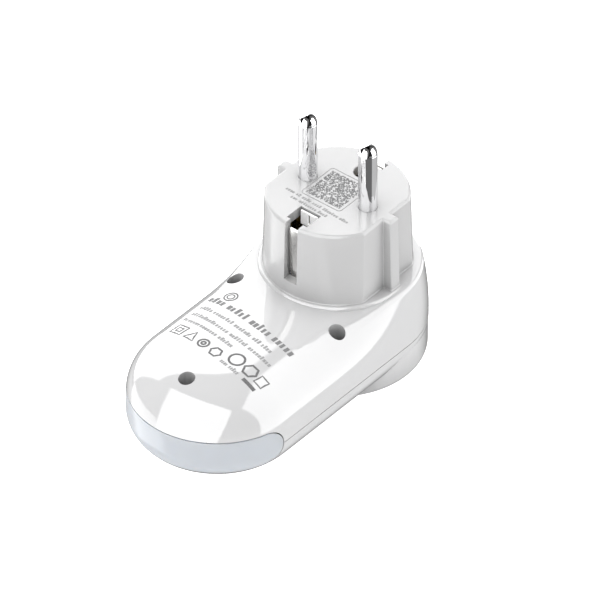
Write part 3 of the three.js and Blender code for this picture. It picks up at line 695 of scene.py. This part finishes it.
def plug_barrel():
    """The plug's round body, drafted, with a soft top edge, a fine flare at its foot and its openings."""
    edge, foot_z = 0.8, low("plug_barrel").z
    rings = []
    for inset, z in arc((edge, -edge), edge, 90, 180, 6):
        outline = barrel_side(BARREL_TOP_RADIUS - inset, -inset, BARREL_RIB - inset * 0.9)
        rings.append([(x, y, z) for x, y in outline])
    for i in range(1, 7):
        share = i / 6
        outline = barrel_side(mix(BARREL_TOP_RADIUS, BARREL_BASE_RADIUS, share), FLAT_DRAFT * share)
        rings.append([(x, y, mix(-edge, SEAT_Z + 0.35, share)) for x, y in outline])
    flare = [(grow, SEAT_Z + lift) for grow, lift in ((0.03, 0.33), (0.16, 0.18), (0.2, 0.04), (0, 0.02))]
    for grow, z in flare + [(0, foot_z)]:
        outline = barrel_side(BARREL_BASE_RADIUS + grow, FLAT_DRAFT + grow, BARREL_RIB + grow)
        rings.append([(x, y, z) for x, y in outline])
    barrel = loft("plug_barrel_fine", rings)
    room, half_room, face_thickness = 16.2, 14.2, 2.8
    cavity = turned("cutter", [(room, foot_z - 1), (room, -face_thickness)], segments=64)
    sides = block("cutter", (-half_room, half_room), (-20, 20), (foot_z - 2, 0))
    cut(barrel, combine(cavity, sides, "INTERSECT"))
    for side in (-1, 1):
        pin_hole = [(PIN_RADIUS + 0.04, -4), (PIN_RADIUS + 0.04, 1)]
        cut(barrel, turned("cutter", pin_hole, (side * PIN_X, 0), 64))
    earth_hole = [(2.5, -4), (2.5, -0.2), (2.75, 0.05), (2.75, 1)]
    cut(barrel, turned("cutter", earth_hole, (0, EARTH_HOLE_Y), 64))
    for side, inner_y, pocket_y in ((-1, TOE_OPENING_Y, 8.8), (1, HEEL_OPENING_Y, 12.7)):
        slot_ys = sorted((side * 14, side * 20))
        face_ys = sorted((side * inner_y, side * 15.8))
        pocket_ys = sorted((side * pocket_y, side * (inner_y + 0.7)))
        cut(barrel, block("cutter", (-2, 2), slot_ys, (-17.2, 1)))
        cut(barrel, block("cutter", (-3.2, 3.2), face_ys, (-4, 1)))
        cut(barrel, block("cutter", (-3.15, 3.15), pocket_ys, (-4, -0.6)))
    return finish_piece(barrel, "housing", MATERIALS["satin_white"], ["plug_barrel"])


def plug_pin(name, x):
    """A round pin with a domed end, a shoulder behind the face and a thinner tail."""
    tail_z, dome_radius = low(name).z, PIN_RADIUS - 0.05
    dome_z = PIN_TIP_Z - dome_radius
    flange, flange_z = 3.2, PIN_SHOULDER_Z - 1
    profile = [(0, tail_z), (PIN_TAIL_RADIUS, tail_z), (PIN_TAIL_RADIUS, flange_z)]
    profile += [(flange, flange_z), (flange, PIN_SHOULDER_Z), (PIN_RADIUS, PIN_SHOULDER_Z)]
    profile += [(PIN_RADIUS, mix(PIN_SHOULDER_Z, dome_z - 0.05, i / 20)) for i in range(1, 21)]
    profile += [(PIN_RADIUS - 0.02, dome_z)] + arc((0, dome_z), dome_radius, 0, 90, 20)
    pin = turned(name + "_fine", profile, (x, 0), 96)
    return finish_piece(pin, "housing", MATERIALS["chrome"], [name], sharp=20)


# ---- Sprung strips ---------------------------------------------------------------------------------------


def smooth_line(points, steps=8):
    """A Catmull-Rom line through 2-D points."""
    ends = [2 * Vector(points[0]) - Vector(points[1])] + [Vector(p) for p in points]
    ends.append(2 * ends[-1] - ends[-2])
    line = []
    for i in range(1, len(ends) - 2):
        before, start, end, after = ends[i - 1:i + 3]
        for k in range(steps):
            t = k / steps
            pull = (2 * before - 5 * start + 4 * end - after) * t ** 2
            pull += (3 * start - before - 3 * end + after) * t ** 3
            line.append((2 * start + (end - before) * t + pull) / 2)
    return line + [ends[-2]]


def strip(name, line, thickness, width, edge=0.08):
    """A metal strip along a (y, z) line, given a width along X and softened edges."""
    left, right = [], []
    for i, point in enumerate(line):
        along = (line[min(i + 1, len(line) - 1)] - line[max(i - 1, 0)]).normalized()
        across = Vector((-along.y, along.x)) * thickness / 2
        left.append(tuple(point + across))
        right.append(tuple(point - across))
    piece = slice_along_x(name, left + right[::-1], width)
    return soften(piece, edge, 2, 50)


def plug_clip(name, side, inner_y):
    """An earth clip at the side of the plug: a sprung strip, and a slotted wall that faces the pins."""
    def place(*pairs):
        return [Vector((side * y, z)) for y, z in pairs]

    wall_y, wall_foot, sheet = inner_y + 0.6, -4.6, 0.5
    wall = strip(name + "_wall", place((wall_y, -0.45), (wall_y, wall_foot)), sheet, 5.2)
    slit_ys = sorted((side * (wall_y - 1), side * (wall_y + 1)))
    cut(wall, block("cutter", (-0.32, 0.32), slit_ys, (-3.8, -0.8)))
    # The wall's metal glows a little: painted light that keeps it bright.
    finish_piece(wall, "housing", TINNED_PAINTED_GLOW)
    upper = place((16.5, -2.1), (16.5, -4), (16.4, -8), (16.3, -12))
    lower = place((16.2, -15.5), (15.8, -17.4), (15.2, -18.9))
    bow = strip(name + "_fine", smooth_line(upper + lower), 0.8, 3.1)
    join(bow, strip("neck", place((wall_y, wall_foot - 0.1), (wall_y, -6.5), (16, -6.5)), sheet, 1.6))
    return finish_piece(bow, "housing", MATERIALS["nickel"], [name])


def socket_clip(name, body, side):
    """A sprung earth strip in the recess wall: rooted through the floor, bowed in towards the plug."""
    line = [(18.2, 3.4), (18.2, -1), (17.8, -5.5), (16.6, -10.8), (17.8, -15.8)]
    clip_line = smooth_line([(side * y, RECESS_FLOOR_Z + z) for y, z in line])
    clip = strip(name + "_fine", clip_line, 0.8, 4.4, 0.15)
    return finish_piece(clip, body, MATERIALS["nickel"], [name])


# ---- The socket recess -----------------------------------------------------------------------------------


def socket_cup():
    """The recess that takes a plug: softened lip and floor, guides, pin holes, clip slots and a pivot."""
    back_z, mouth_z = RECESS_FLOOR_Z + 2, low("socket_cup").z
    lip, fillet, post = 0.55, 0.6, 2
    profile = [(0, back_z), (CUP_RADIUS, back_z), (CUP_RADIUS, mouth_z + 0.2), (CUP_RADIUS - 0.2, mouth_z)]
    profile += arc((RECESS_RADIUS + lip, mouth_z + lip), lip, -90, -180, 6)
    profile += [(RECESS_RADIUS, mouth_z + lip + 0.5), (RECESS_RADIUS, RECESS_FLOOR_Z - fillet - 0.5)]
    profile += arc((RECESS_RADIUS - fillet, RECESS_FLOOR_Z - fillet), fillet, 0, 90, 5)
    cup = turned("socket_cup_fine", profile + [(0, RECESS_FLOOR_Z)], segments=160)
    for x_side in (-1, 1):
        for y_side in (-1, 1):
            xs = sorted((x_side * 16.7, x_side * 19.8))
            ys = sorted((y_side * 2.4, y_side * 5.4))
            guide = block("guide", xs, ys, (mouth_z + 2, RECESS_FLOOR_Z + 0.5))
            join(cup, soften(guide, 0.4, 3))
    pivot = [(0, 1.5), (post, 1.5), (post, 4.3), (post - 0.3, 4.6), (0, 4.6)]
    join(cup, turned("pivot", [(radius, RECESS_FLOOR_Z + z) for radius, z in pivot], segments=48))
    for side in (-1, 1):
        bore, mouth = PIN_RADIUS + 0.3, PIN_RADIUS + 0.9
        funnel = [(mouth, RECESS_FLOOR_Z - 1), (mouth, RECESS_FLOOR_Z - 0.05)]
        funnel += [(bore, RECESS_FLOOR_Z + 0.6), (bore, back_z + 1)]
        hole = turned("cutter", funnel, (side * PIN_X, 0), 64)
        slot_y = sorted((side * 17.2, side * 19.3))
        cut(cup, hole, block("cutter", (-2.9, 2.9), slot_y, (RECESS_FLOOR_Z - 1, back_z + 1)))
    return finish_piece(cup, "housing", MATERIALS["satin_white"], ["socket_cup"])


def safety_shutter():
    """A turning shutter: a hub with two rounded arms that lie over the pin holes."""
    hub, reach, half, root = 3.8, 12.8, 17, 50
    outline = []
    for middle in (0, 180):
        outline += arc((0, 0), reach, middle - half, middle + half, 16)
        outline += arc((0, 0), hub, middle + root, middle + 180 - root, 12)
    shutter = prism("safety_shutter_fine", outline, low("safety_shutter").z, high("safety_shutter").z)
    bore = 2.3
    cut(shutter, turned("cutter", [(bore, -40), (bore, -20)], segments=64))
    soften(shutter, 0.2, 3, 50)
    return finish_piece(shutter, "shutter", MATERIALS["shutter_white"], ["safety_shutter"])


def casing_screw(number):
    """A cross-head screw at the foot of its well."""
    name = f"casing_screw_{number}"
    x, y = SCREWS[number - 1]
    foot = low(name).z
    shank = [(0, 0), (1.1, 0.6), (1.1, 8)]
    head = [(1.9, 8), (1.9, 8.6), (1.75, 8.95), (1.2, 9.35), (0.6, 9.47), (0, 9.5)]
    screw = turned(name + "_fine", [(radius, foot + z) for radius, z in shank + head], (x, y), 48)
    for half_x, half_y in ((1.2, 0.2), (0.2, 1.2)):
        xs, ys = (x - half_x, x + half_x), (y - half_y, y + half_y)
        cut(screw, block("cutter", xs, ys, (foot + 8.7, foot + 10)))
    return finish_piece(screw, "housing", MATERIALS["steel"], [name])


# ---- Prints ----------------------------------------------------------------------------------------------


INK_THICKNESS = 0.05
DOT_SHARE = 0.52


class Print:
    """Thin raised ink laid on a piece: marks are drawn along a row and across it, then set on the surface."""

    def __init__(self, name, surface):
        self.name = name
        graph = bpy.context.evaluated_depsgraph_get()
        self.tree = BVHTree.FromObject(surface, graph)
        self.points, self.faces = [], []
        self.set_row((0, 0), 0)

    def set_row(self, start, degrees):
        self.start = start
        self.turn = math.radians(degrees)

    def height(self, x, y):
        place, _, _, _ = self.tree.ray_cast(Vector((x, y, 5)) * MM, Vector((0, 0, -1)))
        return place.z / MM

    def place(self, u, v):
        x = self.start[0] + u * math.cos(self.turn) - v * math.sin(self.turn)
        y = self.start[1] + u * math.sin(self.turn) + v * math.cos(self.turn)
        return x, y, self.height(x, y)

    def ribbon(self, left, right, closed=False):
        """A closed sliver of ink between two lines of equal length."""
        count, base = len(left), len(self.points)
        for a, b in zip(left, right):
            for u, v in (a, b):
                x, y, z = self.place(u, v)
                self.points += [(x, y, z + INK_THICKNESS), (x, y, z - INK_THICKNESS)]
        spans = count if closed else count - 1
        for i in range(spans):
            a, b = base + 4 * i, base + 4 * ((i + 1) % count)
            self.faces += [(a, b, b + 2, a + 2), (a + 1, a + 3, b + 3, b + 1)]
            self.faces += [(a, a + 1, b + 1, b), (a + 2, b + 2, b + 3, a + 3)]
        if not closed:
            end = base + 4 * (count - 1)
            self.faces += [(base, base + 2, base + 3, base + 1), (end, end + 1, end + 3, end + 2)]

    def bar(self, u, v, width, height):
        """A solid block of ink with its lower left corner at (u, v)."""
        upright = height > width
        end = (u, v + height) if upright else (u + width, v)
        over, up = (width, 0) if upright else (0, height)
        along = self.closely([(u, v), end])
        self.ribbon(along, [(a + over, b + up) for a, b in along])

    def outline(self, corners, width):
        """A closed line of ink through points that go round a middle."""
        middle = sum((Vector(c) for c in corners), Vector((0, 0))) / len(corners)
        corners = self.closely(corners + corners[:1])[:-1]
        inner = []
        for corner in corners:
            way = Vector(corner) - middle
            inner.append(tuple(middle + way * (1 - width / way.length)))
        self.ribbon(corners, inner, closed=True)

    @staticmethod
    def closely(points, spacing=0.25):
        """The same line with points added so that it can follow a curved surface."""
        line = []
        for start, end in zip(points, points[1:]):
            start, end = Vector(start), Vector(end)
            steps = max(1, round((end - start).length / spacing))
            line += [tuple(start.lerp(end, i / steps)) for i in range(steps)]
        return line + [tuple(points[-1])]

    def ring(self, u, v, radius, width, sides=20):
        self.outline(arc((u, v), radius, 0, 360 * (sides - 1) / sides, sides - 1), width)

    def words(self, lengths, pitch, height, dice):
        """A row of greeked words: plain blocks of uneven width and height, and no letters."""
        u = 0.0
        for length in lengths:
            for _ in range(length):
                tall = height * dice.choice((0.7, 0.7, 0.7, 1.0))
                self.bar(u, 0, pitch * dice.uniform(0.5, 0.78), tall)
                u += pitch
            u += pitch * 0.7

    def finish(self, material):
        piece = new_piece(self.name, self.points, self.faces)
        return finish_piece(piece, "housing", material)


def body_print(surface):
    """Greeked rating rows and plain shapes on the back casing, set slightly aslant."""
    dice = random.Random(7)
    slant = -9.0
    title = Print("body_print_title", surface)
    title.set_row((-16.4, -30.6), slant)
    title.words((4, 5, 5, 5), 1.47, 2.3, dice)
    title.finish(INK_GREY)
    rows = Print("body_print_rows", surface)
    for start, lengths, pitch in (
        ((-15.9, -34.2), (5, 8, 7, 3, 4), 0.88),
        ((-16.0, -37.4), (15, 7, 9), 0.9),
        ((-16.3, -40.2), (14, 6), 0.88),
        ((2.6, -48.8), (4, 5), 0.66),
    ):
        rows.set_row(start, slant)
        rows.words(lengths, pitch, 1.25, dice)
    rows.finish(INK_LIGHT)
    shapes = Print("body_print_shapes", surface)
    shapes.set_row((-13.7, -44.3), slant)
    for half, line in ((1.9, 0.4), (0.9, 0.35)):
        shapes.outline([(-half, -half), (half, -half), (half, half), (-half, half)], line)
    shapes.outline([(2.9, -1.7), (6.5, -1.7), (4.7, 1.9)], 0.4)
    shapes.ring(9.0, -0.1, 1.7, 0.5)
    shapes.ring(9.0, -0.1, 0.8, 0.5)
    shapes.ring(13.6, -0.2, 1.9, 0.5, 6)
    shapes.ring(19.2, 1.8, 2.3, 0.55)
    shapes.ring(24.2, 1.8, 2.3, 0.55, 6)
    shapes.outline([(26.9, 0.2), (29.6, 0.2), (29.6, 3.4), (26.9, 3.4)], 0.35)
    shapes.bar(25.0, -1.9, 4.2, 1.0)
    shapes.ring(-0.7, 17.3, 1.9, 0.35)
    shapes.ring(-0.7, 17.3, 1.1, 0.3)
    shapes.finish(INK_DARK)


def face_print(surface):
    """A framed field of random dots and two greeked rows on the plug's face."""
    dice = random.Random(11)
    field = Print("face_print_dots", surface)
    middle = (-0.6, 0.1)
    field.set_row(middle, 0)
    reach, count = 5.3, 35
    step = 2 * reach / count
    for row in range(count):
        run = 0
        for column in range(count + 1):
            filled = column < count and dice.random() < DOT_SHARE
            if filled:
                run += 1
            elif run:
                field.bar((column - run) * step - reach, row * step - reach, run * step, step * 0.92)
                run = 0
    field.finish(INK_GREY)
    frame_line = Print("face_print_frame", surface)
    frame_line.set_row(middle, 0)
    edge, corner, line = 6.25, 0.9, 0.16
    corners = []
    for k, (x, y) in enumerate(((1, 1), (-1, 1), (-1, -1), (1, -1))):
        corners += arc((x * (edge - corner), y * (edge - corner)), corner, 90 * k, 90 * k + 90, 5)
    frame_line.outline(corners, line)
    rows = Print("face_print_rows", surface)
    rows.set_row((-10.4, -7.5), -3)
    rows.words((4, 2, 4, 4, 7, 4), 0.72, 0.9, dice)
    rows.set_row((-7.4, -9.3), -3)
    rows.words((3, 8, 4), 0.72, 0.9, dice)
    frame_line.finish(INK_LIGHT)
    rows.finish(INK_LIGHT)


# ---- Camera, light and floor -----------------------------------------------------------------------------

VIEW_AZIMUTH = math.radians(39.43)
VIEW_ELEVATION = math.radians(39.19)
VIEW_DISTANCE = 2650.0
VIEW_SHIFT = (9.255, 26.796)
VIEW_LENS = 647.86


def camera():
    across, back = math.cos(VIEW_AZIMUTH), math.sin(VIEW_AZIMUTH)
    right = Vector((across, back, 0))
    ahead_flat = Vector((-back, across, 0))
    ahead = ahead_flat * math.cos(VIEW_ELEVATION) - Vector((0, 0, math.sin(VIEW_ELEVATION)))
    up = ahead_flat * math.sin(VIEW_ELEVATION) + Vector((0, 0, math.cos(VIEW_ELEVATION)))
    place = -right * VIEW_SHIFT[0] - up * VIEW_SHIFT[1] - ahead * VIEW_DISTANCE
    data = bpy.data.cameras.new("camera")
    data.lens = VIEW_LENS
    data.sensor_width = 36
    data.clip_start, data.clip_end = 0.1, 20
    view = bpy.data.objects.new("camera", data)
    bpy.context.scene.collection.objects.link(view)
    view.matrix_world = Matrix.Translation(place * MM) @ Matrix((right, up, -ahead)).transposed().to_4x4()
    bpy.context.scene.camera = view


def floor():
    """A plain pale floor that glows evenly, shows no horizon and is clear from below."""
    mesh = bpy.data.meshes.new("floor")
    reach = 3.0
    z = COLLAR_Z * MM - 0.0002
    corners = [(-reach, -reach, z), (reach, -reach, z), (reach, reach, z), (-reach, reach, z)]
    mesh.from_pydata(corners, [], [(0, 1, 2, 3)])
    plane = bpy.data.objects.new("floor", mesh)
    bpy.context.scene.collection.objects.link(plane)
    nodes = Nodes("floor")
    nodes.tint(nodes.noise(4.0), (0.93, 0.93, 0.93), (0.94, 0.94, 0.94))
    path = nodes.add("ShaderNodeLightPath")
    nodes.spread(path.outputs["Is Camera Ray"], FLOOR_GLOW, 1.05, nodes.shader.inputs["Emission Strength"])
    nodes.shader.inputs["Emission Color"].default_value = (1, 1, 1, 1)
    nodes.set(Roughness=0.9)
    nodes.shader.inputs["Specular IOR Level"].default_value = 0.0
    below = nodes.add("ShaderNodeMixShader")
    nodes.link(nodes.add("ShaderNodeNewGeometry").outputs["Backfacing"], below.inputs[0])
    nodes.link(nodes.shader.outputs[0], below.inputs[1])
    nodes.link(nodes.add("ShaderNodeBsdfTransparent").outputs[0], below.inputs[2])
    nodes.link(below.outputs[0], nodes.tree.nodes["Material Output"].inputs["Surface"])
    mesh.materials.append(nodes.material)
    plane.visible_glossy = False


# The studio that polished surfaces mirror. Each softbox is a brightness and the edges of a part of the sky.
# An edge is (x, y, z, limit): directions whose product with (x, y, z) passes the limit are inside.
SOFTBOXES = {
    "front": (5.0, [(-0.07, -1, -0.136, 0), (1, 0, 0, -0.56), (-1, -0.953, 0.292, 0), (0, 0, 1, -0.42)]),
    "right": (4.0, [(0, 1, 0, 0), (1, 0.977, -0.525, 0), (1, 0, 0.12, 0), (0, 0, 1, -0.34)]),
    "left": (3.8, [(0, 1, 0, -0.03), (-1, 0.9, -1.05, 0), (-1, 0, -0.12, 0.2), (0, 0, 1, -0.12)]),
    "low left": (2.5, [(-1, -0.1, -0.4, 0.72), (0, -1, 0, 0.05), (0, 0, -1, 0.05), (0, 0, 1, -0.7)]),
}
# Patches of sky, given by edges as the softboxes are, where the pins' base colour is painted dark: painted
# reflections, not real surroundings.
PAINTED_PIN_BANDS = (
    [(1, 0.1, 0, -0.4), (-1, -0.1, 0, -0.45), (0, 1, 0, -0.15), (0, 0, 1, -0.35)],
    [(0, 1, 0, 0.78), (1, 0, 0, -0.3), (0, 0, 1, -0.7)],
    [(0, 0, 1, 0.74), (1, 0, 0, -0.66)],
    [(0.77, 0.635, 0, -0.22), (-0.77, -0.635, 0, -0.22), (0.492, -0.599, 0.632, 0.35)],
)
BOX_EDGE = 0.03
DARK_GAP = [(1, 0.08, 0, 0), (0.9, -1, 0, 0), (-0.9, -0.75, 0, -0.7), (0, 0, -1, 0.3), (0, 0, 1, -0.85)]

# The floor's light on the object, the fill's dim and bright ends, and its azimuth and elevation in degrees.
# Then what polished surfaces mirror: the floor and where it starts, the gap between softboxes, and the room.
FLOOR_GLOW = 0.27
FILL = (0.24, 1.42)
FILL_FROM = (152, 52)
FLOOR_MIRROR = 0.55
FLOOR_EDGE = (0.15, 0.32)
GAP_MIRROR = 0.15
ROOM = 0.02


class Sky:
    """Node helpers for a surround worked out from the direction of each ray."""

    def __init__(self, tree, source="Generated"):
        self.tree = tree
        self.direction = tree.nodes.new("ShaderNodeTexCoord").outputs[source]

    def maths(self, operation, *values):
        node = self.tree.nodes.new("ShaderNodeMath")
        node.operation = operation
        for slot, value in zip(node.inputs, values):
            if isinstance(value, (int, float)):
                slot.default_value = value
            else:
                self.tree.links.new(value, slot)
        return node.outputs[0]

    def towards(self, x, y, z):
        """How far each ray points along a vector."""
        dot = self.tree.nodes.new("ShaderNodeVectorMath")
        dot.operation = "DOT_PRODUCT"
        dot.inputs[1].default_value = (x, y, z)
        self.tree.links.new(self.direction, dot.inputs[0])
        return dot.outputs["Value"]

    def ramp(self, source, start, end, low_value=0.0, high_value=1.0, kind="SMOOTHSTEP"):
        step = self.tree.nodes.new("ShaderNodeMapRange")
        step.interpolation_type = kind
        limits = {"From Min": start, "From Max": end, "To Min": low_value, "To Max": high_value}
        for name, value in limits.items():
            step.inputs[name].default_value = value
        self.tree.links.new(source, step.inputs["Value"])
        return step.outputs["Result"]

    def patch(self, edges, softness):
        """1 inside all the edges and 0 outside, with soft borders."""
        inside = None
        for x, y, z, limit in edges:
            side = self.ramp(self.towards(x, y, z), limit - softness, limit + softness)
            inside = side if inside is None else self.maths("MULTIPLY", inside, side)
        return inside


def world():
    """An even pale fill for matt surfaces, and the softboxes in a dark room for polished ones."""
    scene_world = bpy.data.worlds.new("studio")
    bpy.context.scene.world = scene_world
    scene_world.use_nodes = True
    tree = scene_world.node_tree
    background = tree.nodes["Background"]
    background.inputs["Color"].default_value = (1, 1, 1, 1)
    sky = Sky(tree)
    floor_light = sky.ramp(sky.towards(0, 0, -1), *FLOOR_EDGE, ROOM, FLOOR_MIRROR)
    mirror = sky.maths("MINIMUM", floor_light, sky.ramp(sky.patch(DARK_GAP, 0.06), 0, 1, 1, GAP_MIRROR))
    for brightness, edges in SOFTBOXES.values():
        box_light = sky.maths("MULTIPLY", sky.patch(edges, BOX_EDGE), brightness)
        mirror = sky.maths("MAXIMUM", mirror, box_light)
    azimuth, elevation = (math.radians(angle) for angle in FILL_FROM)
    flat = math.cos(elevation)
    bright_side = sky.towards(flat * math.cos(azimuth), flat * math.sin(azimuth), math.sin(elevation))
    fill = sky.ramp(bright_side, -1, 1, *FILL, kind="LINEAR")
    path = tree.nodes.new("ShaderNodeLightPath")
    choose = tree.nodes.new("ShaderNodeMix")
    choose.data_type = "FLOAT"
    tree.links.new(path.outputs["Is Glossy Ray"], choose.inputs["Factor"])
    tree.links.new(fill, choose.inputs["A"])
    tree.links.new(mirror, choose.inputs["B"])
    tree.links.new(choose.outputs["Result"], background.inputs["Strength"])


def paint_pin_bands():
    """Painted reflections on the polished pins: where a pin's mirror ray points into one of these patches of
    sky, its base colour is painted nearly black, which draws the black bands in the pins' domed ends.
    """
    tree = MATERIALS["chrome"].node_tree
    sky = Sky(tree, "Reflection")
    dark = None
    for edges in PAINTED_PIN_BANDS:
        painted_band = sky.patch(edges, BOX_EDGE)
        dark = painted_band if dark is None else sky.maths("MAXIMUM", dark, painted_band)
    scale = tree.nodes.new("ShaderNodeVectorMath")
    scale.operation = "SCALE"
    base = tree.nodes["Principled BSDF"].inputs["Base Color"]
    tree.links.new(base.links[0].from_socket, scale.inputs[0])
    tree.links.new(sky.ramp(dark, 0, 1, 1, 0.03), scale.inputs["Scale"])
    tree.links.new(scale.outputs["Vector"], base)


def studio():
    world()
    # Painted reflections: dark bands painted into the pins' base colour.
    paint_pin_bands()
    bpy.context.scene.view_settings.view_transform = "Standard"


# ---- Assembly --------------------------------------------------------------------------------------------

dress_cad_nodes()
casing = back_casing()
front_casing()
light_window()
power_button()
barrel = plug_barrel()
plug_clip("plug_earth_clip_toe", -1, TOE_OPENING_Y)
plug_clip("plug_earth_clip_heel", 1, HEEL_OPENING_Y)
plug_pin("live_pin", PIN_X)
plug_pin("neutral_pin", -PIN_X)
socket_cup()
safety_shutter()
socket_clip("socket_earth_clip_toe", "earth_clip_toe", -1)
socket_clip("socket_earth_clip_heel", "earth_clip_heel", 1)
for number in (1, 2, 3):
    casing_screw(number)
body_print(casing)
face_print(barrel)
floor()
studio()
camera()
